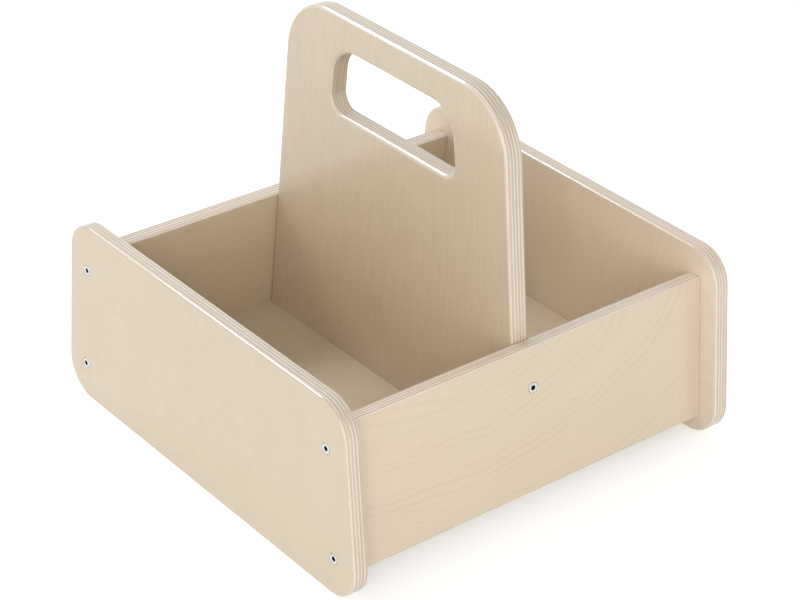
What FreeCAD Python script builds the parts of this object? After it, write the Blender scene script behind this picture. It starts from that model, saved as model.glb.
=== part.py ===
import FreeCAD, Part
import math
import os

# Plywood carry bin for picture books. Two end panels stand on the floor, two leaning side panels
# and a base lie between them, and a divider across the middle rises into a handle.
# Millimetres. X runs across the bin, Y from the front end panel to the back one, Z up.
# The origin is on the floor, under the middle of the bin.

# Overall sizes
FOOT_WIDTH = 350.5           # end panel at the floor, measured to its slanted edges
BIN_DEPTH = 337.5            # over both end panels
LEAN_DEG = 6.0               # every upright edge and both side panels lean inwards by this

# End panels
END_HEIGHT = 146.0
END_THICKNESS = 12.0
END_CORNER_RADIUS = 26.0

# Side panels
SIDE_THICKNESS = 12.0
SIDE_HEIGHT = 110.5          # vertical height of the outer face
SIDE_CLEAR_OF_FLOOR = 15.5   # lowest point of the outer face
SIDE_INSET = 16.0            # outer face in from the end panel's edge, along X
SIDE_ARRIS_RADIUS = 1.5

# Divider with the handle
DIVIDER_THICKNESS = 15.0
DIVIDER_TOP = 294.5
DIVIDER_CORNER_RADIUS = 47.0
SLOT_LENGTH = 132.2          # at half the slot's height
SLOT_HEIGHT = 50.2
SLOT_UPPER_CORNER_RADIUS = 24.0
SLOT_LOWER_CORNER_RADIUS = 11.0
SLOT_TOP_RAIL = 24.3         # wood left above the slot

# Base panel
BASE_THICKNESS = 9.0
BASE_CLEAR_OF_FLOOR = 18.5
BASE_GROOVE_DEPTH = 5.0      # into each end panel
BASE_GROOVE_CLEARANCE = 0.2

# Softened edges round the faces of the end panels and the divider
END_ARRIS_RADIUS = 1.5
DIVIDER_ARRIS_RADIUS = 3.0

# Panel screws: through an end panel into a side panel, or through a side panel into the divider
PANEL_SCREW = {
    "head_diameter": 8.5,
    "neck_diameter": 5.0,
    "thread_diameter": 4.4,
    "length": 50.0,
    "socket_across_flats": 3.0,
    "socket_depth": 2.4,
}
END_SCREW_ABOVE_SIDE_FOOT = 13.0
END_SCREW_BELOW_SIDE_TOP = 16.0
DIVIDER_SCREW_BELOW_SIDE_TOP = 31.0

# Base screws: up through the base panel into the divider's lower edge
BASE_SCREW = {
    "head_diameter": 7.0,
    "neck_diameter": 4.0,
    "thread_diameter": 3.4,
    "length": 35.0,
    "socket_across_flats": 2.5,
    "socket_depth": 1.8,
}
BASE_SCREW_FROM_SIDE = 46.0  # outer base screws in from the base panel's slanted edges

SCREW_CLEARANCE = 0.1        # round each neck and thread, and below each point
SCREW_POINT_LENGTH = 4.0
SCREW_POINT_RADIUS = 0.6

# Dowels between the side panels and the divider's edges
DOWEL_DIAMETER = 8.0
DOWEL_IN_SIDE = 7.0
DOWEL_IN_DIVIDER = 20.0
DOWEL_CHAMFER = 1.0
DOWEL_CLEARANCE = 0.1
DOWEL_BELOW_DIVIDER_SCREW = 39.0

# Cutting tools reach this far past the faces that they open
CUT_OVERRUN = 1.0

# Worked out from the sizes above
LEAN = math.radians(LEAN_DEG)
SIDE_FOOT = SIDE_CLEAR_OF_FLOOR
SIDE_TOP = SIDE_FOOT + SIDE_HEIGHT
BASE_TOP = BASE_CLEAR_OF_FLOOR + BASE_THICKNESS
END_INNER_Y = BIN_DEPTH / 2 - END_THICKNESS
DIVIDER_SCREW_Z = SIDE_TOP - DIVIDER_SCREW_BELOW_SIDE_TOP
DOWEL_Z = DIVIDER_SCREW_Z - DOWEL_BELOW_DIVIDER_SCREW
Y_AXIS = FreeCAD.Vector(0, 1, 0)
Z_AXIS = FreeCAD.Vector(0, 0, 1)


def end_half_width(z):
    """Half the end panel's width at height z."""
    return FOOT_WIDTH / 2 - z * math.tan(LEAN)


def side_outer_x(z):
    """X of the right side panel's outer face at height z."""
    return end_half_width(z) - SIDE_INSET


def side_inner_x(z):
    """X of the right side panel's inner face at height z, where the divider and base meet it."""
    return side_outer_x(z) - SIDE_THICKNESS / math.cos(LEAN)


def side_middle_x(z):
    """X of the right side panel's middle plane at height z."""
    return side_outer_x(z) - SIDE_THICKNESS / 2 / math.cos(LEAN)


def side_normal():
    """Direction straight out of the right side panel's outer face."""
    return FreeCAD.Vector(math.cos(LEAN), 0, math.sin(LEAN))


def board(corners, y_low, thickness):
    """A board with the given corners in the XZ plane, from y_low over its thickness along +Y."""
    points = [FreeCAD.Vector(x, y_low, z) for x, z in corners]
    outline = Part.makePolygon(points + points[:1])
    return Part.Face(outline).extrude(Y_AXIS * thickness)


def mirrored(shape):
    """The same piece on the left side."""
    return shape.mirror(FreeCAD.Vector(0, 0, 0), FreeCAD.Vector(1, 0, 0))


def runs_along_y(edge):
    direction = edge.Vertexes[-1].Point - edge.Vertexes[0].Point
    return math.hypot(direction.x, direction.z) < 1e-6 < abs(direction.y)


def lies_in_y_plane(edge, y):
    box = edge.BoundBox
    return abs(box.YMin - y) < 1e-6 and abs(box.YMax - y) < 1e-6


def round_corners(shape, radius, wanted=lambda edge: True):
    """Round a board's corners, the edges that run through its thickness."""
    edges = [edge for edge in shape.Edges if runs_along_y(edge) and wanted(edge)]
    return shape.makeFillet(radius, edges)


def soften_faces(shape, radius, wanted=lambda edge: True):
    """Round the edges round a board's front and back faces."""
    box = shape.BoundBox
    planes = (box.YMin, box.YMax)
    on_faces = [e for e in shape.Edges if any(lies_in_y_plane(e, y) for y in planes)]
    return shape.makeFillet(radius, [edge for edge in on_faces if wanted(edge)])


def arris_for(thickness, radius):
    """The softening radius, kept inside a thin board."""
    return min(radius, thickness * 0.4)


def turned(profile, origin, axis):
    """Turn a profile of (radius, height) points about an axis that starts at origin."""
    points = [FreeCAD.Vector(radius, 0, height) for radius, height in profile]
    outline = Part.makePolygon(points + points[:1])
    shape = Part.Face(outline).revolve(FreeCAD.Vector(0, 0, 0), Z_AXIS, 360)
    shape.Placement = FreeCAD.Placement(origin, FreeCAD.Rotation(Z_AXIS, axis))
    return shape


def head_depth(screw):
    """Depth of a screw's 90 degree countersunk head."""
    return (screw["head_diameter"] - screw["neck_diameter"]) / 2


def hexagon_prism(across_flats, depth, origin, axis):
    """A hexagonal prism from origin along axis."""
    radius = across_flats / 2 / math.cos(math.pi / 6)
    corners = []
    for index in range(6):
        angle = index * math.pi / 3
        corners.append(FreeCAD.Vector(radius * math.cos(angle), radius * math.sin(angle), 0))
    shape = Part.Face(Part.makePolygon(corners + corners[:1])).extrude(Z_AXIS * depth)
    shape.Placement = FreeCAD.Placement(origin, FreeCAD.Rotation(Z_AXIS, axis))
    return shape


def screw_solid(screw, neck_length, origin, axis):
    """A countersunk screw whose head is flush at origin and whose point goes along axis."""
    head = screw["head_diameter"] / 2
    neck = screw["neck_diameter"] / 2
    thread = screw["thread_diameter"] / 2
    length = screw["length"]
    profile = [
        (0, 0),
        (head, 0),
        (neck, head_depth(screw)),
        (neck, neck_length),
        (thread, neck_length),
        (thread, length - SCREW_POINT_LENGTH),
        (SCREW_POINT_RADIUS, length),
        (0, length),
    ]
    body = turned(profile, origin, axis)
    return body.cut(hexagon_prism(screw["socket_across_flats"], screw["socket_depth"], origin, axis))


def screw_hole(screw, neck_length, origin, axis):
    """The hole for that screw, its countersink included, open past the face at origin."""
    head = screw["head_diameter"] / 2
    neck = screw["neck_diameter"] / 2 + SCREW_CLEARANCE
    thread = screw["thread_diameter"] / 2 + SCREW_CLEARANCE
    bottom = screw["length"] + SCREW_CLEARANCE
    profile = [
        (0, -CUT_OVERRUN),
        (head, -CUT_OVERRUN),
        (head, 0),
        (neck, head - neck),
        (neck, neck_length),
        (thread, neck_length),
        (thread, bottom),
        (0, bottom),
    ]
    return turned(profile, origin, axis)


def end_screw_heights():
    """Heights of the two screws that hold each end of a side panel."""
    return {
        "lower": SIDE_FOOT + END_SCREW_ABOVE_SIDE_FOOT,
        "upper": SIDE_TOP - END_SCREW_BELOW_SIDE_TOP,
    }


def end_screw_places():
    """Origin and direction of each screw through an end panel, by the screw's name."""
    places = {}
    for end, y, direction in (("front", -BIN_DEPTH / 2, Y_AXIS), ("back", BIN_DEPTH / 2, -Y_AXIS)):
        for side, sign in (("right", 1), ("left", -1)):
            for level, z in end_screw_heights().items():
                origin = FreeCAD.Vector(sign * side_middle_x(z), y, z)
                places[f"{end}_{side}_{level}_screw"] = (origin, direction)
    return places


def divider_screw_place():
    """Origin and direction of the screw through the right side panel into the divider."""
    origin = FreeCAD.Vector(side_outer_x(DIVIDER_SCREW_Z), 0, DIVIDER_SCREW_Z)
    return origin, -side_normal()


def base_screw_places():
    """Origin and direction of each screw up through the base, by the screw's name."""
    outer = side_inner_x(BASE_CLEAR_OF_FLOOR) - BASE_SCREW_FROM_SIDE
    across = {"left": -outer, "middle": 0.0, "right": outer}
    places = {}
    for name, x in across.items():
        places[f"{name}_base_screw"] = (FreeCAD.Vector(x, 0, BASE_CLEAR_OF_FLOOR), Z_AXIS)
    return places


def dowel_profile(radius, low, high, chamfer):
    return [
        (0, low),
        (radius - chamfer, low),
        (radius, low + chamfer),
        (radius, high - chamfer),
        (radius - chamfer, high),
        (0, high),
    ]


def dowel_place():
    """The point on the right side panel's inner face that the dowel crosses, and its direction."""
    return FreeCAD.Vector(side_inner_x(DOWEL_Z), 0, DOWEL_Z), side_normal()


def right_divider_dowel():
    profile = dowel_profile(DOWEL_DIAMETER / 2, -DOWEL_IN_DIVIDER, DOWEL_IN_SIDE, DOWEL_CHAMFER)
    return turned(profile, *dowel_place())


def right_dowel_hole():
    radius = DOWEL_DIAMETER / 2 + DOWEL_CLEARANCE
    low = -DOWEL_IN_DIVIDER - DOWEL_CLEARANCE
    high = DOWEL_IN_SIDE + DOWEL_CLEARANCE
    return turned([(0, low), (radius, low), (radius, high), (0, high)], *dowel_place())


def divider_side_holes():
    """Screw and dowel holes across the joint of the right side panel and the divider."""
    return [screw_hole(PANEL_SCREW, SIDE_THICKNESS, *divider_screw_place()), right_dowel_hole()]


def end_panel(y_low, inner_y):
    """An end panel from y_low, with the base's groove in the face at inner_y."""
    foot = end_half_width(0)
    top = end_half_width(END_HEIGHT)
    corners = [(-foot, 0), (foot, 0), (top, END_HEIGHT), (-top, END_HEIGHT)]
    shape = board(corners, y_low, END_THICKNESS)
    shape = round_corners(shape, END_CORNER_RADIUS)
    shape = soften_faces(shape, arris_for(END_THICKNESS, END_ARRIS_RADIUS))
    half_length = side_inner_x(BASE_CLEAR_OF_FLOOR) + BASE_GROOVE_CLEARANCE
    groove = Part.makeBox(
        half_length * 2,
        BASE_GROOVE_DEPTH * 2,
        BASE_THICKNESS + BASE_GROOVE_CLEARANCE * 2,
        FreeCAD.Vector(
            -half_length,
            inner_y - BASE_GROOVE_DEPTH,
            BASE_CLEAR_OF_FLOOR - BASE_GROOVE_CLEARANCE,
        ),
    )
    shape = shape.cut(groove)
    for origin, direction in end_screw_places().values():
        if origin.y * inner_y > 0:
            shape = shape.cut(screw_hole(PANEL_SCREW, END_THICKNESS, origin, direction))
    return shape


def right_side_panel():
    """The leaning board between the end panels, square-cut at its top and bottom."""
    normal = side_normal() * SIDE_THICKNESS
    foot = FreeCAD.Vector(side_outer_x(SIDE_FOOT), 0, SIDE_FOOT)
    top = FreeCAD.Vector(side_outer_x(SIDE_TOP), 0, SIDE_TOP)
    corners = [(point.x, point.z) for point in (foot, top, top - normal, foot - normal)]
    shape = board(corners, -END_INNER_Y, END_INNER_Y * 2)
    shape = round_corners(shape, arris_for(SIDE_THICKNESS, SIDE_ARRIS_RADIUS))
    for origin, direction in end_screw_places().values():
        if origin.x > 0:
            shape = shape.cut(screw_hole(PANEL_SCREW, END_THICKNESS, origin, direction))
    for hole in divider_side_holes():
        shape = shape.cut(hole)
    return shape


def hand_slot(y_low):
    """The slot's solid, as deep as the divider and a little more, with its corners rounded."""
    slot_top = DIVIDER_TOP - SLOT_TOP_RAIL
    slot_foot = slot_top - SLOT_HEIGHT
    spread = SLOT_HEIGHT / 2 * math.tan(LEAN)
    top = SLOT_LENGTH / 2 - spread
    foot = SLOT_LENGTH / 2 + spread
    corners = [(-foot, slot_foot), (foot, slot_foot), (top, slot_top), (-top, slot_top)]
    slot = board(corners, y_low - CUT_OVERRUN, DIVIDER_THICKNESS + CUT_OVERRUN * 2)
    middle = (slot_foot + slot_top) / 2
    upper_radius = min(SLOT_UPPER_CORNER_RADIUS, SLOT_HEIGHT * 0.55)
    lower_radius = min(SLOT_LOWER_CORNER_RADIUS, SLOT_HEIGHT * 0.4)
    slot = round_corners(slot, upper_radius, lambda edge: edge.BoundBox.ZMin > middle)
    return round_corners(slot, lower_radius, lambda edge: edge.BoundBox.ZMax < middle)


def handle_divider():
    """The middle board, from the base up to the handle, with its hand slot."""
    foot = side_inner_x(BASE_TOP)
    top = side_inner_x(DIVIDER_TOP)
    corners = [(-foot, BASE_TOP), (foot, BASE_TOP), (top, DIVIDER_TOP), (-top, DIVIDER_TOP)]
    y_low = -DIVIDER_THICKNESS / 2
    shape = board(corners, y_low, DIVIDER_THICKNESS)
    shape = round_corners(
        shape, DIVIDER_CORNER_RADIUS, lambda edge: edge.BoundBox.ZMin > SIDE_TOP
    )
    shape = shape.cut(hand_slot(y_low))
    arris = arris_for(DIVIDER_THICKNESS, DIVIDER_ARRIS_RADIUS)
    shape = soften_faces(shape, arris, lambda edge: edge.BoundBox.ZMax > BASE_TOP + 1e-3)
    for hole in divider_side_holes():
        shape = shape.cut(hole).cut(mirrored(hole))
    for origin, direction in base_screw_places().values():
        shape = shape.cut(screw_hole(BASE_SCREW, BASE_THICKNESS, origin, direction))
    return shape


def base_panel():
    """The floor of the bin: bevelled against the side panels, let into both end panels."""
    foot = side_inner_x(BASE_CLEAR_OF_FLOOR)
    top = side_inner_x(BASE_TOP)
    low = BASE_CLEAR_OF_FLOOR
    corners = [(-foot, low), (foot, low), (top, BASE_TOP), (-top, BASE_TOP)]
    reach = END_INNER_Y + BASE_GROOVE_DEPTH - BASE_GROOVE_CLEARANCE
    shape = board(corners, -reach, reach * 2)
    for origin, direction in base_screw_places().values():
        shape = shape.cut(screw_hole(BASE_SCREW, BASE_THICKNESS, origin, direction))
    return shape


def build():
    """Every piece of the bin, by its node's name."""
    nodes = {
        "front_end_panel": end_panel(-BIN_DEPTH / 2, -END_INNER_Y),
        "back_end_panel": end_panel(END_INNER_Y, END_INNER_Y),
        "right_side_panel": right_side_panel(),
        "left_side_panel": mirrored(right_side_panel()),
        "handle_divider": handle_divider(),
        "base_panel": base_panel(),
    }
    for name, (origin, direction) in end_screw_places().items():
        nodes[name] = screw_solid(PANEL_SCREW, END_THICKNESS, origin, direction)
    right_divider_screw = screw_solid(PANEL_SCREW, SIDE_THICKNESS, *divider_screw_place())
    nodes["right_divider_screw"] = right_divider_screw
    nodes["left_divider_screw"] = mirrored(right_divider_screw)
    for name, (origin, direction) in base_screw_places().items():
        nodes[name] = screw_solid(BASE_SCREW, BASE_THICKNESS, origin, direction)
    nodes["right_divider_dowel"] = right_divider_dowel()
    nodes["left_divider_dowel"] = mirrored(right_divider_dowel())
    return nodes


os.makedirs("parts", exist_ok=True)
for node_name, node_shape in build().items():
    if not node_shape.isValid() or len(node_shape.Solids) != 1:
        raise RuntimeError(f"{node_name} is not one sound solid")
    node_shape.exportStep(f"parts/{node_name}.step")
    print(f"{node_name}: {node_shape.Volume / 1000:.1f} cm3")
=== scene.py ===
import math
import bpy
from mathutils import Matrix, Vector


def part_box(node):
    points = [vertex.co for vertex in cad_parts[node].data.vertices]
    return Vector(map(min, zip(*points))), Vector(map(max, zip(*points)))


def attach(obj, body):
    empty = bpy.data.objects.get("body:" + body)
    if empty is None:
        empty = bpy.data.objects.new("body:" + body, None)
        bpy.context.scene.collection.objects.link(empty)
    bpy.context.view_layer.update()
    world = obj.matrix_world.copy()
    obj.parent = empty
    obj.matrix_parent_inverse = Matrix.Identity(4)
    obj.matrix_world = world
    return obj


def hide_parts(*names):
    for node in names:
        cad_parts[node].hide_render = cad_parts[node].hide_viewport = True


bl_info = {
    "name": "Picture Book Bin",
    "version": (1, 0, 0),
    "blender": (4, 5, 0),
    "location": "3D View > Sidebar > Book Bin",
    "description": "Plywood finishes, screws, dowels and studio for a picture book carry bin",
    "category": "Object",
}

import bmesh
import bpy
from mathutils import Matrix, Vector

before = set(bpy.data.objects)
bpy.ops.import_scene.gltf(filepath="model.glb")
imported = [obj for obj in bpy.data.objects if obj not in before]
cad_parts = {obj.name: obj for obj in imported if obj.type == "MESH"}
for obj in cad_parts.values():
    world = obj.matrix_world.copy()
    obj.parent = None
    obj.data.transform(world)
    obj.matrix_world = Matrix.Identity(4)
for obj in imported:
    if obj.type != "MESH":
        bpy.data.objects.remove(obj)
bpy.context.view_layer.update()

LEAN = math.radians(6)          # both side panels lean inwards by this
SIDE_OUTER_AT_FLOOR = 0.15925   # where the outer face of a side panel would meet the floor
MILLIMETRES = 1000.0            # in a metre

X_AXIS, Y_AXIS, Z_AXIS = Vector((1, 0, 0)), Vector((0, 1, 0)), Vector((0, 0, 1))
RIGHT_INWARDS = Vector((-math.cos(LEAN), 0, -math.sin(LEAN)))
LEFT_INWARDS = Vector((math.cos(LEAN), 0, -math.sin(LEAN)))
UP_RIGHT_SIDE = Vector((-math.sin(LEAN), 0, math.cos(LEAN)))
UP_LEFT_SIDE = Vector((math.sin(LEAN), 0, math.cos(LEAN)))


def srgb(red, green, blue):
    """A colour given in 0 to 255 screen values, as the linear colour that Blender works in."""

    def linear(value):
        value /= 255
        return value / 12.92 if value <= 0.04045 else ((value + 0.055) / 1.055) ** 2.4

    return (linear(red), linear(green), linear(blue), 1.0)


# Shader maths


class Term:
    """A node's output socket. Arithmetic on it adds Math nodes."""

    def __init__(self, finish, socket):
        self.finish = finish
        self.socket = socket

    def output(self, name):
        """Another output of the same node."""
        return Term(self.finish, self.socket.node.outputs[name])

    def math(self, operation, *others):
        return self.finish.node("ShaderNodeMath", {"operation": operation}, [self, *others])

    def __add__(self, other):
        return self.math("ADD", other)

    __radd__ = __add__

    def __sub__(self, other):
        return self.math("SUBTRACT", other)

    def __rsub__(self, other):
        return self.finish.node("ShaderNodeMath", {"operation": "SUBTRACT"}, [other, self])

    def __mul__(self, other):
        return self.math("MULTIPLY", other)

    __rmul__ = __mul__

    def __truediv__(self, other):
        return self.math("DIVIDE", other)

    def __pow__(self, other):
        return self.math("POWER", other)

    def __mod__(self, other):
        return self.math("FLOORED_MODULO", other)

    def floor(self):
        return self.math("FLOOR")

    def square(self):
        return self * self

    def root(self):
        return self.math("SQRT")

    def absolute(self):
        return self.math("ABSOLUTE")

    def clamp(self, low=0.0, high=1.0):
        return self.math("MAXIMUM", low).math("MINIMUM", high)

    def ramp(self, start, end):
        """A soft step from 0 at start to 1 at end."""
        settings = {"interpolation_type": "SMOOTHSTEP"}
        return self.finish.node("ShaderNodeMapRange", settings, [self, start, end, 0.0, 1.0])

    def dot(self, axis):
        settings = {"operation": "DOT_PRODUCT"}
        return self.finish.node("ShaderNodeVectorMath", settings, [self, axis], "Value")


class Finish:
    """A node tree being built for a material or the world."""

    def __init__(self, tree):
        self.tree = tree
        tree.nodes.clear()

    def node(self, kind, settings=None, inputs=None, output=0):
        """Add a node: its settings first, then the values or links of its sockets."""
        made = self.tree.nodes.new(kind)
        for name, value in (settings or {}).items():
            setattr(made, name, value)
        inputs = inputs or {}
        pairs = inputs.items() if isinstance(inputs, dict) else enumerate(inputs)
        for key, value in pairs:
            if isinstance(value, Term):
                self.tree.links.new(value.socket, made.inputs[key])
            else:
                made.inputs[key].default_value = value
        return Term(self, made.outputs[output]) if len(made.outputs) else None

    def mix(self, factor, first, second):
        """A number between first and second."""
        return self.node("ShaderNodeMix", {"data_type": "FLOAT"}, {0: factor, 2: first, 3: second})

    def blend(self, factor, first, second, how="MIX"):
        """A colour between first and second."""
        settings = {"data_type": "RGBA", "blend_type": how}
        return self.node("ShaderNodeMix", settings, {0: factor, 6: first, 7: second}, 2)

    def tinted(self, colour_term, tint):
        """A colour times a tint."""
        return self.blend(1.0, colour_term, tint, "MULTIPLY")

    def noise(self, where, detail=2.0, roughness=0.5, scale=1.0):
        """Soft noise, centred on 0, at a vector or at three coordinates."""
        if isinstance(where, tuple):
            where = self.node("ShaderNodeCombineXYZ", inputs=where)
        inputs = {"Vector": where, "Scale": scale, "Detail": detail, "Roughness": roughness}
        return self.node("ShaderNodeTexNoise", inputs=inputs, output="Fac") - 0.5

    def bump(self, height, strength, distance):
        """Relief in a surface, as a normal."""
        inputs = {"Strength": strength, "Distance": distance, "Height": height}
        return self.node("ShaderNodeBump", inputs=inputs)

    def surface(self, inputs):
        """The material's shader, joined to its output."""
        shader = self.node("ShaderNodeBsdfPrincipled", inputs=inputs)
        self.node("ShaderNodeOutputMaterial", inputs=[shader])


def new_material(name):
    material = bpy.data.materials.new(name)
    material.use_nodes = True
    return material, Finish(material.node_tree)


# User settings


def colour(name, description, default):
    return bpy.props.FloatVectorProperty(
        name=name, description=description, subtype="COLOR", size=4, min=0, max=1, default=default
    )


def length(name, description, default):
    return bpy.props.FloatProperty(
        name=name,
        description=description,
        subtype="DISTANCE",
        unit="LENGTH",
        min=0,
        default=default,
    )


def factor(name, description, default):
    return bpy.props.FloatProperty(
        name=name, description=description, subtype="FACTOR", min=0, max=1, default=default
    )


def brightness(name, description, default):
    return bpy.props.FloatProperty(name=name, description=description, min=0, default=default)


def power(name, description, default):
    return bpy.props.FloatProperty(
        name=name, description=description, unit="POWER", min=0, default=default
    )


class PlywoodLook(bpy.types.PropertyGroup):
    """Colours and finish of the lacquered birch plywood"""

    pale_wood: colour("Pale wood", "Lightest colour of a face", srgb(236, 220, 196))
    dark_wood: colour("Dark wood", "Darkest colour of a face", srgb(215, 197, 168))
    long_ply: colour("Long ply", "Plies cut along their grain, on an edge", srgb(238, 226, 212))
    end_ply: colour("End ply", "Plies cut across their grain, on an edge", srgb(208, 193, 174))
    glue: colour("Glue line", "Thin line of glue between two plies", srgb(178, 157, 134))
    fleck: colour("Fleck", "Small brown flecks and pores", srgb(150, 118, 84))
    joint: colour("Joint line", "Fine line where two boards meet", srgb(140, 98, 56))
    # Painted shade: the darker colour of the slot's side walls, where shade falls inside the slot
    slot_wall_shade: colour("Burnish", "Side walls of the slot, rubbed by the cutter", srgb(169, 153, 131))
    ply_waviness: length("Ply waviness", "How far a ply strays from its plane", 0.00010)
    figure: factor("Figure", "Strength of the growth lines on the faces", 0.5)
    fibre: factor("Fibre", "Strength of the fine fibres", 0.5)
    lacquer_roughness: factor("Lacquer roughness", "Roughness of the clear lacquer", 0.09)
    wood_roughness: factor("Wood roughness", "Roughness of the wood below the lacquer", 0.50)


class ScrewSizes(bpy.types.PropertyGroup):
    """Sizes and finish of the screws"""

    panel_head: length("Panel screw head", "Diameter of a panel screw's head", 0.0085)
    panel_neck: length("Panel screw neck", "Diameter of a panel screw's neck", 0.0050)
    panel_neck_end: length("Panel screw neck end", "From the head's top to the neck's end", 0.012)
    panel_thread: length("Panel screw thread", "Diameter over a panel screw's thread", 0.0044)
    panel_length: length("Panel screw length", "Length of a panel screw", 0.050)
    panel_socket: length("Panel screw socket", "Hexagon socket across its flats", 0.0030)
    panel_pitch: length("Panel screw pitch", "Pitch of a panel screw's thread", 0.0024)
    base_head: length("Base screw head", "Diameter of a base screw's head", 0.0070)
    base_neck: length("Base screw neck", "Diameter of a base screw's neck", 0.0040)
    base_neck_end: length("Base screw neck end", "From the head's top to the neck's end", 0.009)
    base_thread: length("Base screw thread", "Diameter over a base screw's thread", 0.0034)
    base_length: length("Base screw length", "Length of a base screw", 0.035)
    base_socket: length("Base screw socket", "Hexagon socket across its flats", 0.0025)
    base_pitch: length("Base screw pitch", "Pitch of a base screw's thread", 0.0018)
    steel: colour("Zinc plate", "Colour of the bright zinc plating", srgb(244, 245, 244))
    dull_steel: colour("Dull zinc plate", "Duller clouds in the plating", srgb(205, 209, 214))
    steel_roughness: factor("Zinc roughness", "Roughness of the plating", 0.30)
    # Painted shade: the near-black inside the sockets and the gap round a head, with paler clouds
    recess: colour("Recess", "Colour inside the sockets", srgb(8, 8, 10))
    paler_recess_shade: colour("Dusty recess", "Paler clouds inside the sockets", srgb(20, 20, 23))


class DowelSizes(bpy.types.PropertyGroup):
    """Sizes and colours of the wooden dowels"""

    diameter: length("Diameter", "Diameter of a dowel", 0.008)
    length: length("Length", "Length of a dowel", 0.027)
    chamfer: length("Chamfer", "Chamfer at each end", 0.001)
    groove: length("Groove", "Depth of the glue grooves", 0.0003)
    beech: colour("Beech", "Colour of the dowel", srgb(206, 172, 128))
    dark_beech: colour("Dark beech", "Darker fibres of the dowel", srgb(186, 148, 104))
    ray: colour("Ray", "Short dark rays in the beech", srgb(150, 108, 70))


class StudioSettings(bpy.types.PropertyGroup):
    """Camera, lamps and floor"""

    lens: bpy.props.FloatProperty(
        name="Lens", description="Focal length of the camera", unit="CAMERA", min=1, default=107.31
    )
    low_light: brightness("Low light", "Light from all round, near the horizon", 1.14)
    high_light: brightness("High light", "Light from straight above", 0.30)
    strip_power: power("Strip lamp", "Power of the long soft lamp", 37)
    glint_power: power("Glint lamp", "Power of the lamp that only shines in the polish", 36)
    fill_power: power("Fill lamp", "Power of the broad lamp on the right", 44)
    floor: colour("Floor", "Colour of the floor", srgb(254, 254, 254))


# Plywood boards

# What a board's facts say, with the values that most boards share. Lengths are in millimetres.
#   inwards, face     the direction from one face into the wood, and that face's place along it
#   grain, across     the directions along and across the grain of the face plies
#   thickness, plies, first   where the plies lie, first being the start of the first ply
#   centre, stretch   the middle of the growth lines, along and across the grain, and how many
#                     times longer than wide they are on either side of it
#   pitch, wild       the growth lines' spacing, and how uneven they are
#   reach             how far from their middle they start to fade, and are faint
#   figure, fibre, cloud, ripple   strength of the growth lines, fibres, blotches and ripples
#   joint             how far from the board's middle its ends meet other boards
#   slot              half the length of the slot whose side walls get painted shade, and its top
#   edge, tint        what the colours of the edges and of the faces are multiplied by: partly each board's own tone, partly painted light and shade
#   seed              where the board's patterns start, so that no two boards are alike
COMMON_FACTS = {
    "grain": Z_AXIS, "across": X_AXIS, "thickness": 12, "plies": 9, "first": 0.0,
    "cloud": 0.35, "ripple": 0.5, "joint": None, "slot": None, "edge": 1.0,
}


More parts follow.
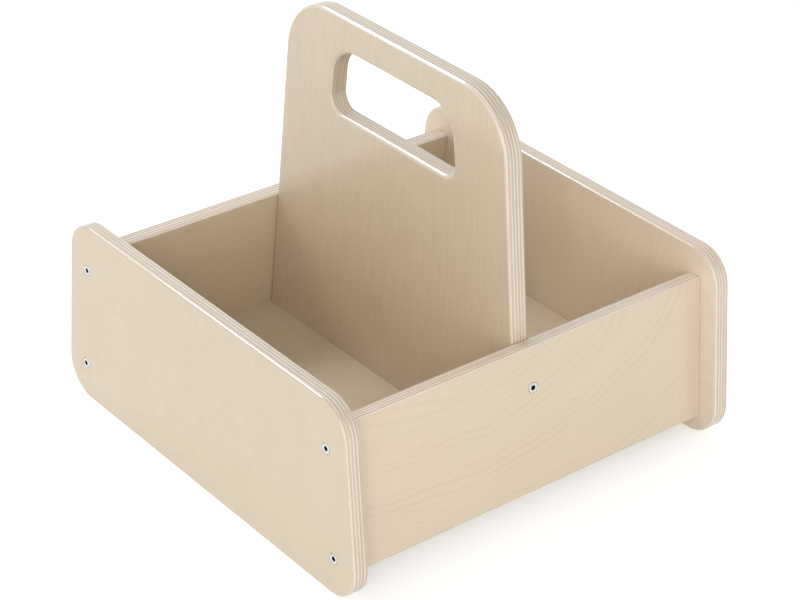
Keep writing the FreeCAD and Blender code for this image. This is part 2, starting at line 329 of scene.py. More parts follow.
def board_facts():
    """Each board's facts, by its node's name."""
    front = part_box("front_end_panel")[0].y * MILLIMETRES
    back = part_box("back_end_panel")[1].y * MILLIMETRES
    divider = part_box("handle_divider")[0].y * MILLIMETRES
    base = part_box("base_panel")[0].z * MILLIMETRES
    side = -SIDE_OUTER_AT_FLOOR * math.cos(LEAN) * MILLIMETRES
    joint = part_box("right_side_panel")[1].y * MILLIMETRES
    facts = {
        "front_end_panel": {
            "inwards": Y_AXIS, "face": front, "first": 0.25, "seed": 3.0,
            "centre": (165, -12), "stretch": (3.0, 3.0), "pitch": 5.6, "wild": 60,
            "reach": (44, 78), "figure": 0.65, "fibre": 0.30, "cloud": 0.36, "ripple": 1.3,
            # Painted shade: this panel's edges are painted darker, toning down the fill lamp on its
            # right end
            "edge": 0.96, "tint": (0.80, 0.79, 0.765, 1.0),
        },
        "back_end_panel": {
            "inwards": -Y_AXIS, "face": -back, "seed": 41.0,
            "centre": (-60, 150), "stretch": (3.0, 3.0), "pitch": 7.0, "wild": 40,
            "reach": (60, 200), "figure": 0.6, "fibre": 0.6,
            # Painted light: a lighter tint than the other boards makes up for the shade on this
            # panel's inner face, inside the bin
            "tint": (1.02, 1.03, 1.07, 1.0),
        },
        "right_side_panel": {
            "inwards": RIGHT_INWARDS, "face": side, "grain": Y_AXIS, "across": UP_RIGHT_SIDE,
            "seed": 88.0,
            "centre": (-34, 134), "stretch": (3.4, 1.65), "pitch": 5.8, "wild": 21,
            "reach": (200, 400), "figure": 0.78, "fibre": 0.45, "cloud": 0.25, "ripple": 0.4,
            # Painted light: this panel's edges are painted lighter
            "joint": joint, "edge": 1.04, "tint": (0.87, 0.87, 0.84, 1.0),
        },
        "left_side_panel": {
            "inwards": LEFT_INWARDS, "face": side, "grain": Y_AXIS, "across": UP_LEFT_SIDE,
            "seed": 132.0,
            "centre": (90, 20), "stretch": (3.2, 3.2), "pitch": 6.0, "wild": 30,
            "reach": (120, 300), "figure": 0.75, "fibre": 0.6,
            # Painted light: this panel's edges are painted lighter
            "joint": joint, "edge": 1.04, "tint": (0.865, 0.865, 0.83, 1.0),
        },
        "handle_divider": {
            "inwards": Y_AXIS, "face": divider, "thickness": 15, "plies": 11, "seed": 177.0,
            "centre": (-420, 30), "stretch": (7.0, 7.0), "pitch": 4.1, "wild": 22,
            "reach": (300, 500), "figure": 0.5, "fibre": 1.3, "ripple": 0.4,
            # Painted shade: the divider's edges are painted darker, and its slot walls get painted
            # shade
            "slot": (76, 275), "edge": 0.93, "tint": (0.785, 0.77, 0.74, 1.0),
        },
        "base_panel": {
            "inwards": Z_AXIS, "face": base, "grain": Y_AXIS, "thickness": 9, "plies": 7,
            "seed": 215.0,
            "centre": (-210, 30), "stretch": (4.0, 4.0), "pitch": 7.0, "wild": 36,
            "reach": (100, 400), "figure": 0.7, "fibre": 0.8, "cloud": 0.4,
            "tint": (0.89, 0.89, 0.86, 1.0),
        },
    }
    return {node: {**COMMON_FACTS, **own} for node, own in facts.items()}


# What a coordinate is divided by, in the patterns below, is the pattern's size in millimetres in
# that direction. Each ply is shifted along the pattern, so that no two are alike.

NOISE_REACH = 0.25   # noise seldom strays further from 0 than this
SLOT_FADE = 4.0      # millimetres over which the painted shade on the slot walls ends beside and above the slot


def growth_lines(finish, board, along, across, shift):
    """Late wood: the level lines of a gently uneven dome, as a peeled veneer shows them."""
    middle_along, middle_across = board["centre"]
    before, after = board["stretch"]
    near, far = board["reach"]
    away_along = along - middle_along
    away_along = away_along.math("MINIMUM", 0.0) / before + away_along.math("MAXIMUM", 0.0) / after
    away_across = across - middle_across
    dome = (away_along.square() + away_across.square()).root()
    rise = finish.noise((along / 95, across / 42, shift * 0.7), roughness=0.4)
    rings = (dome + rise * board["wild"]) / board["pitch"]
    late_wood = ((rings * math.tau).math("COSINE") * 0.5 + 0.5) ** 1.8
    faint = finish.noise((rings * 0.37, board["seed"], 4.0), detail=0.0) * 2.4 + 0.6
    return late_wood * faint.clamp() * (1.0 - dome.ramp(near, far) * 0.85)


def plywood(name, board, look):
    """Lacquered birch plywood whose plies, fibres and growth lines run through the solid board."""
    material, finish = new_material(name)
    place = finish.node("ShaderNodeTexCoord", output="Object")
    facing = place.output("Normal")
    seed = board["seed"]

    along = place.dot(board["grain"]) * MILLIMETRES
    across = place.dot(board["across"]) * MILLIMETRES
    depth = place.dot(board["inwards"]) * MILLIMETRES - board["face"]

    # Plies, one after another through the thickness
    stray = finish.noise((along, across, seed), scale=0.035)
    stray = stray * (look.ply_waviness * MILLIMETRES / NOISE_REACH)
    level = (depth + stray - board["first"]) / board["thickness"] * board["plies"]
    level = level.clamp(0.001, board["plies"] - 0.001)
    ply = level.floor()
    turned = ply % 2.0
    from_glue = 0.5 - (level - ply - 0.5).absolute()
    ply_tone = finish.noise((ply * 7.3 + seed, along / 160, across / 160), detail=0.0)

    # How squarely the surface is a face, and which plies it cuts across their grain
    on_face = facing.dot(board["inwards"]).square().clamp()
    on_edge = (1.0 - on_face).ramp(0.03, 0.45)
    end_of_long = facing.dot(board["grain"]).square()
    end_of_turned = facing.dot(board["across"]).square()
    endness = finish.mix(turned, end_of_long, end_of_turned).clamp()

    # Each ply's own directions
    run = finish.mix(turned, along, across)
    side = finish.mix(turned, across, along)
    shift = ply * 23.7 + seed

    # Fine fibres, with a slow wander so that they aren't ruled lines
    wander = finish.noise((run / 55, side / 30, shift), detail=1.0) * 5
    fibre = (run / 26, (side + wander) / 0.75, depth / 0.6 + shift)
    fibre = finish.noise(fibre, detail=3.0, roughness=0.6)
    coarse = finish.noise((run / 70, (side + wander) / 3.6, shift))
    blotch = finish.noise((run / 44, side / 30, shift * 1.3))

    late_wood = growth_lines(finish, board, along, across, shift)

    # The open, even texture of the fine pores
    speckle = finish.noise((run / 2.2, side / 0.9, shift * 2.9), detail=1.0)

    # Ripples across the grain, in drifting patches
    ripple = finish.noise((run / 3.4, side / 11, shift * 1.9), detail=1.0)
    patch = finish.noise((run / 48, side / 40, shift * 2.3), detail=1.0)
    ripple = ripple * patch.ramp(-0.06, 0.22)

    # Short pores and a few brown flecks along the grain
    pore = finish.noise((run / 2.8, side / 0.34, depth / 0.34 + shift), detail=1.0)
    pore = pore.ramp(0.19, 0.27)
    fleck = finish.noise((run / 5.5, side / 1.6, shift * 3.1), detail=1.0)
    crowd = finish.noise((run / 40, side / 34, shift * 4.3), detail=0.0)
    fleck = fleck.ramp(0.235, 0.29) * crowd.ramp(0.02, 0.14)

    # Face colour
    fibre_strength = look.fibre * board["fibre"]
    face_tone = (
        0.33
        + blotch * board["cloud"]
        + coarse * (0.75 * fibre_strength)
        + fibre * (1.6 * fibre_strength)
        + late_wood * (0.55 * look.figure * board["figure"])
        + ripple * (look.figure * board["ripple"])
        + speckle * (0.42 * look.fibre)
    ).clamp()
    face = finish.blend(face_tone, look.pale_wood, look.dark_wood)
    face = finish.tinted(face, board["tint"])
    face = finish.blend((pore * 0.20 + fleck * 0.42).clamp(), face, look.fleck)

    # Edge colour: pale where a ply runs along the edge, darker where it is cut across
    grain_of_edge = (fibre * 0.9 + coarse * 0.5 + ply_tone * 0.9).clamp(-0.5, 0.5)
    long_ply = finish.blend((0.35 + grain_of_edge).clamp(), look.long_ply, look.dark_wood)
    end_ply = finish.blend((0.25 + grain_of_edge * 0.8).clamp(), look.end_ply, look.glue)
    edge = finish.blend(endness.ramp(0.15, 0.75), long_ply, end_ply)
    seam = 1.0 - from_glue.ramp(0.02, 0.13)
    open_seam = finish.noise((along / 9, across / 9, shift), detail=1.0).ramp(-0.2, 0.3)
    edge = finish.blend(seam * (0.30 + open_seam * 0.45), edge, look.glue)
    edge = finish.tinted(edge, (board["edge"], board["edge"], board["edge"], 1.0))

    # Painted shade: the side walls of a slot are darkened and their plies closed up, where shade
    # falls inside the slot
    if board["slot"]:
        half_length, top = board["slot"]
        beside = across.absolute().ramp(half_length, half_length + SLOT_FADE)
        above = along.ramp(top, top + SLOT_FADE)
        wall = end_of_turned * (1.0 - on_face).ramp(0.1, 0.8)
        painted_slot_shade = (1.0 - beside) * (1.0 - above) * wall * (0.76 + ply_tone * 0.4)
        edge = finish.blend(painted_slot_shade.clamp(), edge, look.slot_wall_shade)

    wood = finish.blend(on_edge, face, edge)

    # The fine dark line where a board's end meets its neighbour
    if board["joint"]:
        to_joint = board["joint"] - along.absolute()
        line = (1.0 - to_joint.ramp(0.15, 0.65)) * (0.55 + blotch)
        wood = finish.blend(line.clamp() * 0.7, wood, look.joint)

    # Surface: open fibres, a slight dip at each glue line, and more polish on the rubbed arrises
    rubbed = (on_face * (1.0 - on_face) * 4.0).clamp()
    roughness = look.wood_roughness + fibre * 0.10 + endness * on_edge * 0.10 - rubbed * 0.08
    relief = fibre * 0.55 + coarse * 0.25 - pore * 0.35 - seam * on_edge * 0.5 - fleck * 0.2
    finish.surface({
        "Base Color": wood,
        "Roughness": roughness.clamp(0.2, 0.9),
        "IOR": 1.5,
        "Coat Weight": 1.0,
        "Coat Roughness": look.lacquer_roughness,
        "Normal": finish.bump(relief, strength=0.35, distance=0.00007),
    })
    return material


def finish_board(node, name):
    """Give a board of the frame its plywood."""
    material = plywood(name, board_facts()[node], bpy.context.scene.book_bin_plywood)
    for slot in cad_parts[node].material_slots:
        slot.material = material


# Screws and dowels


def zinc_plate(sizes):
    """Bright plating with soft clouds and a fine grit."""
    material, finish = new_material("bright zinc plate")
    place = finish.node("ShaderNodeTexCoord", output="Object")
    cloud = finish.noise(place, scale=900.0)
    speck = finish.noise(place, roughness=0.6, scale=4200.0)
    roughness = sizes.steel_roughness + cloud * 0.16 + speck * 0.10
    finish.surface({
        "Base Color": finish.blend((0.5 + cloud).clamp(), sizes.steel, sizes.dull_steel),
        "Metallic": 1.0,
        "Roughness": roughness.clamp(0.12, 0.6),
        "Normal": finish.bump(speck, strength=0.2, distance=0.00002),
    })
    return material


def painted_recess_shade(sizes):
    """Painted shade: the near-black inside of a socket, and of the fine gap round a head, with
    paler clouds.
    """
    material, finish = new_material("dark screw recess")
    place = finish.node("ShaderNodeTexCoord", output="Object")
    cloud = finish.noise(place, scale=1800.0)
    finish.surface({
        "Base Color": finish.blend((0.5 + cloud).clamp(), sizes.recess, sizes.paler_recess_shade),
        "Roughness": (0.6 + cloud * 0.2).clamp(0.3, 0.8),
        "Specular IOR Level": 0.15,
    })
    return material


def beech(sizes):
    """Plain turned beech, its fibres along X as a dowel's are, with short dark rays."""
    material, finish = new_material("turned beech")
    place = finish.node("ShaderNodeTexCoord", output="Object")
    run, side, high = (place.dot(axis) * MILLIMETRES for axis in (X_AXIS, Y_AXIS, Z_AXIS))
    fibre = finish.noise((run / 12, side / 0.35, high / 0.35), detail=3.0)
    ray = finish.noise((run / 1.6, side / 0.3, high / 0.3), detail=1.0).ramp(0.16, 0.24)
    wood = finish.blend((0.45 + fibre).clamp(), sizes.beech, sizes.dark_beech)
    finish.surface({
        "Base Color": finish.blend(ray * 0.5, wood, sizes.ray),
        "Roughness": (0.62 + fibre * 0.2).clamp(),
        "Normal": finish.bump(fibre - ray * 0.3, strength=0.4, distance=0.00008),
    })
    return material


def add_piece(mesh_builder, name, origin, direction, materials, node):
    """Lay a bmesh, built along +Z, at an origin along a direction, to stand for a node."""
    turn = Vector(direction).to_track_quat("Z", "Y").to_matrix().to_4x4()
    place = Matrix.Translation(Vector(origin)) @ turn
    bmesh.ops.transform(mesh_builder, matrix=place, verts=mesh_builder.verts)
    bmesh.ops.recalc_face_normals(mesh_builder, faces=mesh_builder.faces)
    mesh = bpy.data.meshes.new(name)
    mesh_builder.to_mesh(mesh)
    mesh_builder.free()
    for material in materials:
        mesh.materials.append(material)
    mesh.shade_smooth()
    mesh.set_sharp_from_angle(angle=SHARP_ANGLE)
    piece = bpy.data.objects.new(name, mesh)
    bpy.context.scene.collection.objects.link(piece)
    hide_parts(node)
    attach(piece, "root")


STEPS_ROUND = 48          # of a screw or a dowel
RECESS = 1                # a screw's second material, after its zinc: the painted shade of its socket and gap

SHARP_ANGLE = math.radians(32)

# A socket's sizes, as shares of its width across the flats
SOCKET_DEPTH = 0.6
SOCKET_DISH = 0.22        # how much deeper its middle is
SOCKET_SEAT = 0.62        # radius of the flat ring round it

HEAD_SINK = 0.00012       # how far a head lies below the face round it
SOCKET_LIP = 0.00006      # how far the socket's rim dips below the head's top
RIM_INSET = 0.00012       # how much smaller than its hole a head is, all round
GAP_INNER, GAP_LOWEST, GAP_OUTER = 0.00040, 0.00024, 0.00006   # the fine gap, in from the rim
GAP_DEPTH = 0.00030
ROUNDING, ROUNDING_DROP = 0.00006, 0.00004                     # of the gap's edges
NECK_DRAFT = 0.00005      # how much a neck narrows towards its end
CORE_TAPER = 0.0006       # length over which the neck narrows to the core
POINT_LENGTH = 0.004
TIP_RADIUS, TIP_HEIGHT = 0.0004, 0.0001
MERGE_DISTANCE = 0.000004

THREAD_HEIGHT = 0.00055
THREAD_STEPS = 24         # a turn
THREAD_WIDTH = 0.52       # as a share of the pitch
THREAD_ROOTED = 0.0001    # how deep the ridge stands in the core
THREAD_START = 0.0010     # beyond the neck
THREAD_END = 0.0006       # before the tip
THREAD_FADED = 0.15       # share of its height that the ridge keeps at both ends
TIP_SHARE = 0.25          # share of its radius that the ridge keeps at the tip


def edges_of(verts):
    """Every edge that meets one of the vertices."""
    return list({edge for vert in verts for edge in vert.link_edges})


def only(kind, made):
    """The geometry of one kind that an operator made."""
    return [item for item in made["geom"] if isinstance(item, kind)]


def turn_profile(piece, profile, steps):
    """Turn an open profile of (radius, height) points about Z."""
    points = [piece.verts.new((radius, 0, height)) for radius, height in profile]
    lines = [piece.edges.new(pair) for pair in zip(points, points[1:])]
    bmesh.ops.spin(
        piece,
        geom=points + lines,
        cent=(0, 0, 0),
        axis=(0, 0, 1),
        angle=math.tau,
        steps=steps,
        use_merge=True,
    )


def hexagon_rim(piece, across_flats, edges_a_side, height):
    """The edges of a hexagon round the Z axis, each side cut into short edges."""
    radius = across_flats / 2 / math.cos(math.pi / 6)
    made = bmesh.ops.create_circle(piece, segments=6, radius=radius, cap_ends=False)
    bmesh.ops.translate(piece, vec=(0, 0, height), verts=made["verts"])
    cut = bmesh.ops.subdivide_edges(piece, edges=edges_of(made["verts"]), cuts=edges_a_side - 1)
    return only(bmesh.types.BMEdge, cut)


def screw_piece(head, neck, neck_end, thread, length, socket, pitch):
    """A countersunk screw with a hexagon socket and a thread, from its head at 0 up to its tip."""
    piece = bmesh.new()
    rim = head / 2 - RIM_INSET
    core = thread / 2 - THREAD_HEIGHT

    # Socket: the hexagon, its walls and its dished floor
    depth = socket * SOCKET_DEPTH
    deepest = (0, 0, HEAD_SINK + depth + socket * SOCKET_DISH)
    mouth = hexagon_rim(piece, socket, STEPS_ROUND // 6, HEAD_SINK + SOCKET_LIP)
    walls = bmesh.ops.extrude_edge_only(piece, edges=mouth)
    bmesh.ops.translate(piece, vec=(0, 0, depth), verts=only(bmesh.types.BMVert, walls))
    floor = bmesh.ops.extrude_edge_only(piece, edges=only(bmesh.types.BMEdge, walls))
    bmesh.ops.pointmerge(piece, verts=only(bmesh.types.BMVert, floor), merge_co=deepest)
    # The socket gets the painted shade
    for face in piece.faces:
        face.material_index = RECESS

    # Head: a flat top, the gap round it, the rim and the countersink, then neck, core and point
    inner = socket * SOCKET_SEAT
    seat = bmesh.ops.create_circle(piece, segments=STEPS_ROUND, radius=inner, cap_ends=False)
    bmesh.ops.translate(piece, vec=(0, 0, HEAD_SINK), verts=seat["verts"])
    bmesh.ops.bridge_loops(piece, edges=mouth + edges_of(seat["verts"]))
    profile = [
        (inner, HEAD_SINK),
        (rim - GAP_INNER - ROUNDING, HEAD_SINK),
        (rim - GAP_INNER, HEAD_SINK + ROUNDING_DROP),
        (rim - GAP_LOWEST, HEAD_SINK + GAP_DEPTH),
        (rim - GAP_OUTER, HEAD_SINK + ROUNDING_DROP),
        (rim, HEAD_SINK + RIM_INSET),
        (neck / 2, HEAD_SINK + (head - neck) / 2),
        (neck / 2 - NECK_DRAFT, neck_end),
        (core, neck_end + CORE_TAPER),
        (core, length - POINT_LENGTH),
        (TIP_RADIUS, length - TIP_HEIGHT),
        (0.0, length),
    ]
    turn_profile(piece, profile, STEPS_ROUND)
    # The fine gap round the head gets the painted shade
    for face in piece.faces:
        middle = face.calc_center_median()
        in_gap = GAP_OUTER < rim - middle.xy.length < GAP_INNER
        if in_gap and middle.z < HEAD_SINK + GAP_DEPTH:
            face.material_index = RECESS
    bmesh.ops.remove_doubles(piece, verts=piece.verts, dist=MERGE_DISTANCE)

    add_thread(piece, core, thread / 2, neck_end + THREAD_START, length, pitch)
    return piece


def add_thread(piece, core, crest, start, length, pitch):
    """Wind one ridge round a screw's core, which rises out of it and runs out along the point."""
    turns = int((length - THREAD_END - start) / pitch)
    foot = core - THREAD_ROOTED
    corners = [
        piece.verts.new((foot, 0, start)),
        piece.verts.new((crest, 0, start + pitch * THREAD_WIDTH / 2)),
        piece.verts.new((foot, 0, start + pitch * THREAD_WIDTH)),
    ]
    section = piece.faces.new(corners)
    bmesh.ops.spin(
        piece,
        geom=[section, *corners, *section.edges],
        cent=(0, 0, 0),
        axis=(0, 0, 1),
        dvec=(0, 0, pitch / THREAD_STEPS),
        angle=math.tau * turns,
        steps=THREAD_STEPS * turns,
        use_merge=False,
    )
    for vert in joined_verts(section):
        radius = math.hypot(vert.co.x, vert.co.y)
        height = vert.co.z
        rise = min(1.0, max(0.0, (height - start) / pitch), max(0.0, (length - height) / pitch))
        taper = min(1.0, (length - height) / POINT_LENGTH)
        wanted = foot + max(0.0, radius - foot) * (THREAD_FADED + (1 - THREAD_FADED) * rise)
        wanted *= TIP_SHARE + (1 - TIP_SHARE) * taper
        vert.co.x *= wanted / radius
        vert.co.y *= wanted / radius


def joined_verts(face):
    """Every vertex joined to a face."""
    found = set(face.verts)
    waiting = list(found)
    while waiting:
        vert = waiting.pop()
        for edge in vert.link_edges:
            other = edge.other_vert(vert)
            if other not in found:
                found.add(other)
                waiting.append(other)
    return found


def dowel_piece(sizes):
    """A dowel about the origin, along Z, with chamfered ends and a glue groove every third step."""
    piece = bmesh.new()
    outer = sizes.diameter / 2
    bmesh.ops.create_cone(
        piece,
        cap_ends=True,
        segments=STEPS_ROUND,
        radius1=outer,
        radius2=outer,
        depth=sizes.length,
    )
    rims = [edge for edge in piece.edges if abs(edge.verts[0].co.z - edge.verts[1].co.z) < 1e-7]
    bmesh.ops.bevel(
        piece, geom=rims, offset=sizes.chamfer, affect="EDGES", segments=1, profile=0.5, material=-1
    )
    for vert in piece.verts:
        step = round(math.atan2(vert.co.y, vert.co.x) / math.tau * STEPS_ROUND)
        radius = math.hypot(vert.co.x, vert.co.y)
        if step % 3 == 0 and radius > outer - 1e-5:
            vert.co.x *= 1 - sizes.groove / radius
            vert.co.y *= 1 - sizes.groove / radius
    return piece


def add_screw(kind, node, origin, direction, sizes, materials):
    """Add a panel or base screw in the place of its node."""
    parts = ("head", "neck", "neck_end", "thread", "length", "socket", "pitch")
    piece = screw_piece(**{part: getattr(sizes, f"{kind}_{part}") for part in parts})
    name = node.replace("_screw", "_countersunk_screw")
    add_piece(piece, name, origin, direction, materials, node)


# Operators


class BOOKBIN_OT_end_panels(bpy.types.Operator):
    """Give both end panels their plywood"""

    bl_idname = "book_bin.end_panels"
    bl_label = "End panels"

    def execute(self, context):
        finish_board("front_end_panel", "front end plywood")
        finish_board("back_end_panel", "back end plywood")
        return {"FINISHED"}


class BOOKBIN_OT_side_panels(bpy.types.Operator):
    """Give both side panels their plywood"""

    bl_idname = "book_bin.side_panels"
    bl_label = "Side panels"

    def execute(self, context):
        finish_board("right_side_panel", "right side plywood")
        finish_board("left_side_panel", "left side plywood")
        return {"FINISHED"}


class BOOKBIN_OT_divider(bpy.types.Operator):
    """Give the handle divider its plywood"""

    bl_idname = "book_bin.divider"
    bl_label = "Handle divider"

    def execute(self, context):
        finish_board("handle_divider", "divider plywood")
        return {"FINISHED"}


class BOOKBIN_OT_base(bpy.types.Operator):
    """Give the base panel its plywood"""

    bl_idname = "book_bin.base"
    bl_label = "Base panel"

    def execute(self, context):
        finish_board("base_panel", "base plywood")
        return {"FINISHED"}


class BOOKBIN_OT_panel_screws(bpy.types.Operator):
    """Make the screws through the end and side panels"""

    bl_idname = "book_bin.panel_screws"
    bl_label = "Panel screws"

    def execute(self, context):
        sizes = context.scene.book_bin_screws
        materials = [zinc_plate(sizes), painted_recess_shade(sizes)]
        self.add_end_screws(sizes, materials)
        self.add_divider_screws(sizes, materials)
        return {"FINISHED"}

    def add_end_screws(self, sizes, materials):
        for end in ("front", "back"):
            for side in ("right", "left"):
                for level in ("lower", "upper"):
                    node = f"{end}_{side}_{level}_screw"
                    low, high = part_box(node)
                    y, direction = (low.y, Y_AXIS) if end == "front" else (high.y, -Y_AXIS)
                    origin = ((low.x + high.x) / 2, y, (low.z + high.z) / 2)
                    add_screw("panel", node, origin, direction, sizes, materials)

    def add_divider_screws(self, sizes, materials):
        """Set square to the leaning side panels, with the head's upper edge at its node's."""
        across = sizes.panel_head / 2 * math.sin(LEAN)
        down = sizes.panel_head / 2 * math.cos(LEAN)
        for side, inwards in (("right", RIGHT_INWARDS), ("left", LEFT_INWARDS)):
            node = f"{side}_divider_screw"
            low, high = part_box(node)
            x = high.x - across if side == "right" else low.x + across
            add_screw("panel", node, (x, 0, high.z - down), inwards, sizes, materials)


class BOOKBIN_OT_base_screws(bpy.types.Operator):
    """Make the screws up through the base panel"""

    bl_idname = "book_bin.base_screws"
    bl_label = "Base screws"

    def execute(self, context):
        sizes = context.scene.book_bin_screws
        materials = [zinc_plate(sizes), painted_recess_shade(sizes)]
        for place in ("left", "middle", "right"):
            node = f"{place}_base_screw"
            low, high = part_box(node)
            origin = ((low.x + high.x) / 2, (low.y + high.y) / 2, low.z)
            add_screw("base", node, origin, Z_AXIS, sizes, materials)
        return {"FINISHED"}


class BOOKBIN_OT_dowels(bpy.types.Operator):
    """Make the dowels between the divider and the side panels"""

    bl_idname = "book_bin.dowels"
    bl_label = "Dowels"

    def execute(self, context):
        sizes = context.scene.book_bin_dowels
        materials = [beech(sizes)]
        for side, inwards in (("right", RIGHT_INWARDS), ("left", LEFT_INWARDS)):
            node = f"{side}_divider_dowel"
            low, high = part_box(node)
            piece = dowel_piece(sizes)
            name = f"{side}_grooved_dowel"
            add_piece(piece, name, (low + high) / 2, inwards, materials, node)
        return {"FINISHED"}


FLOOR_HALF_SIZE = 6
# Light of its own that the floor shows to the camera, and in polish, beside its lit colour
FLOOR_GLOW, MIRRORED_FLOOR_GLOW = 0.37, 0.15

# Each lamp's power setting, direction from the bin, distance, width and height. All look at one
# point in the bin.
LAMPS = {
    "strip_lamp": ("strip_power", Vector((-0.731, -0.087, 0.677)), 3.0, 2.8, 1.0),
    "glint_lamp": ("glint_power", Vector((-0.68, -0.087, 0.728)), 3.0, 2.0, 0.34),
    "fill_lamp": ("fill_power", Vector((0.76, -0.56, 0.32)), 3.5, 2.2, 2.2),
}
LAMPS_SEEN_IN_POLISH_ONLY = ("glint_lamp",)
LAMP_AIM = Vector((0, 0, 0.1))

CAMERA_AZIMUTH = math.radians(51.022)     # from the front towards the right
CAMERA_ELEVATION = math.radians(30.385)
CAMERA_ROLL = math.radians(1.145)
CAMERA_AIM = Vector((0, 0, 0.150))
CAMERA_DISTANCE = 1.675168
CAMERA_RIGHT, CAMERA_DOWN = 0.002116, 0.048936    # how far it then stands from the line to its aim


def ray_kinds(finish):
    """Whether a ray comes from the camera, and whether it was mirrored or came through glass."""
    seen = finish.node("ShaderNodeLightPath", output="Is Camera Ray")
    mirrored = seen.output("Is Glossy Ray") + seen.output("Is Transmission Ray")
    return seen, mirrored.clamp()


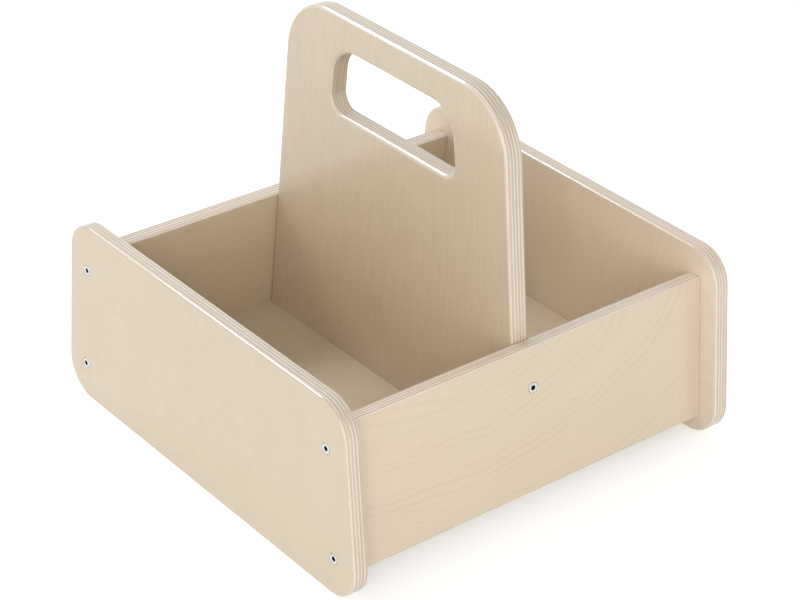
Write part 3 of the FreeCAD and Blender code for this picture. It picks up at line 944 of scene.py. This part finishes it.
class BOOKBIN_OT_studio(bpy.types.Operator):
    """Make the floor, lamps and camera"""

    bl_idname = "book_bin.studio"
    bl_label = "Studio"

    def execute(self, context):
        scene = context.scene
        settings = scene.book_bin_studio
        scene.view_settings.view_transform = "Standard"
        self.make_floor(scene, settings)
        self.make_world(scene, settings)
        self.make_lamps(scene, settings)
        self.make_camera(scene, settings)
        return {"FINISHED"}

    def make_floor(self, scene, settings):
        piece = bmesh.new()
        bmesh.ops.create_grid(piece, x_segments=1, y_segments=1, size=FLOOR_HALF_SIZE)
        mesh = bpy.data.meshes.new("studio_floor")
        piece.to_mesh(mesh)
        piece.free()
        material, finish = new_material("studio floor")
        matt = finish.node(
            "ShaderNodeBsdfPrincipled", inputs={"Base Color": settings.floor, "Roughness": 0.9}
        )
        seen, mirrored = ray_kinds(finish)
        strength = seen * FLOOR_GLOW + mirrored * MIRRORED_FLOOR_GLOW
        glow = finish.node("ShaderNodeEmission", inputs={"Strength": strength})
        both = finish.node("ShaderNodeAddShader", inputs=[matt, glow])
        finish.node("ShaderNodeOutputMaterial", inputs=[both])
        mesh.materials.append(material)
        floor = bpy.data.objects.new("studio_floor", mesh)
        scene.collection.objects.link(floor)

    def make_world(self, scene, settings):
        """White where the camera or a mirror sees it, and softer from above than from the sides."""
        world = bpy.data.worlds.new("studio")
        world.use_nodes = True
        scene.world = world
        finish = Finish(world.node_tree)
        seen, mirrored = ray_kinds(finish)
        height = finish.node("ShaderNodeTexCoord", output="Generated").dot(Z_AXIS).clamp()
        around = finish.mix(height, settings.low_light, settings.high_light)
        strength = finish.mix((seen + mirrored).clamp(), around, 1.0)
        light = finish.node(
            "ShaderNodeBackground", inputs={"Color": (1, 1, 1, 1), "Strength": strength}
        )
        finish.node("ShaderNodeOutputWorld", inputs=[light])

    def make_lamps(self, scene, settings):
        for name, (power_setting, towards, distance, width, height) in LAMPS.items():
            data = bpy.data.lights.new(name, "AREA")
            data.shape = "RECTANGLE"
            data.size = width
            data.size_y = height
            data.energy = getattr(settings, power_setting)
            lamp = bpy.data.objects.new(name, data)
            towards = towards.normalized()
            lamp.location = LAMP_AIM + towards * distance
            lamp.rotation_euler = towards.to_track_quat("Z", "Y").to_euler()
            lamp.visible_diffuse = name not in LAMPS_SEEN_IN_POLISH_ONLY
            scene.collection.objects.link(lamp)

    def make_camera(self, scene, settings):
        back = Vector((
            math.sin(CAMERA_AZIMUTH) * math.cos(CAMERA_ELEVATION),
            -math.cos(CAMERA_AZIMUTH) * math.cos(CAMERA_ELEVATION),
            math.sin(CAMERA_ELEVATION),
        ))
        level_right = Vector((math.cos(CAMERA_AZIMUTH), math.sin(CAMERA_AZIMUTH), 0))
        level_up = back.cross(level_right)
        right = math.cos(CAMERA_ROLL) * level_right + math.sin(CAMERA_ROLL) * level_up
        up = -math.sin(CAMERA_ROLL) * level_right + math.cos(CAMERA_ROLL) * level_up
        data = bpy.data.cameras.new("catalogue_camera")
        data.sensor_fit = "HORIZONTAL"
        data.sensor_width = 36
        data.lens = settings.lens
        data.clip_start = 0.1
        data.clip_end = 50
        camera = bpy.data.objects.new("catalogue_camera", data)
        turn = Matrix((right, up, back)).transposed().to_4x4()
        where = CAMERA_AIM + back * CAMERA_DISTANCE + right * CAMERA_RIGHT - up * CAMERA_DOWN
        camera.matrix_world = Matrix.Translation(where) @ turn
        scene.collection.objects.link(camera)
        scene.camera = camera


class BOOKBIN_PT_sidebar(bpy.types.Panel):
    """Lists the bin's pieces and their settings"""

    bl_idname = "BOOKBIN_PT_sidebar"
    bl_label = "Book bin"
    bl_space_type = "VIEW_3D"
    bl_region_type = "UI"
    bl_category = "Book Bin"

    def draw(self, context):
        layout = self.layout
        for operator in OPERATORS:
            layout.operator(operator.bl_idname)
        for title, name, group in SETTINGS:
            box = layout.box()
            box.label(text=title)
            for setting in group.__annotations__:
                box.prop(getattr(context.scene, name), setting)


# Each group's title in the sidebar, its name on the scene, and the group itself
SETTINGS = (
    ("Plywood", "book_bin_plywood", PlywoodLook),
    ("Screws", "book_bin_screws", ScrewSizes),
    ("Dowels", "book_bin_dowels", DowelSizes),
    ("Studio", "book_bin_studio", StudioSettings),
)
OPERATORS = (
    BOOKBIN_OT_end_panels,
    BOOKBIN_OT_side_panels,
    BOOKBIN_OT_divider,
    BOOKBIN_OT_base,
    BOOKBIN_OT_panel_screws,
    BOOKBIN_OT_base_screws,
    BOOKBIN_OT_dowels,
    BOOKBIN_OT_studio,
)


def register():
    for _, name, group in SETTINGS:
        bpy.utils.register_class(group)
        setattr(bpy.types.Scene, name, bpy.props.PointerProperty(type=group))
    for operator in OPERATORS:
        bpy.utils.register_class(operator)
    bpy.utils.register_class(BOOKBIN_PT_sidebar)


def unregister():
    bpy.utils.unregister_class(BOOKBIN_PT_sidebar)
    for operator in reversed(OPERATORS):
        bpy.utils.unregister_class(operator)
    for _, name, group in reversed(SETTINGS):
        delattr(bpy.types.Scene, name)
        bpy.utils.unregister_class(group)


def main():
    register()
    bpy.ops.book_bin.studio()
    bpy.ops.book_bin.end_panels()
    bpy.ops.book_bin.side_panels()
    bpy.ops.book_bin.divider()
    bpy.ops.book_bin.base()
    bpy.ops.book_bin.panel_screws()
    bpy.ops.book_bin.base_screws()
    bpy.ops.book_bin.dowels()


if __name__ == "__main__":
    main()
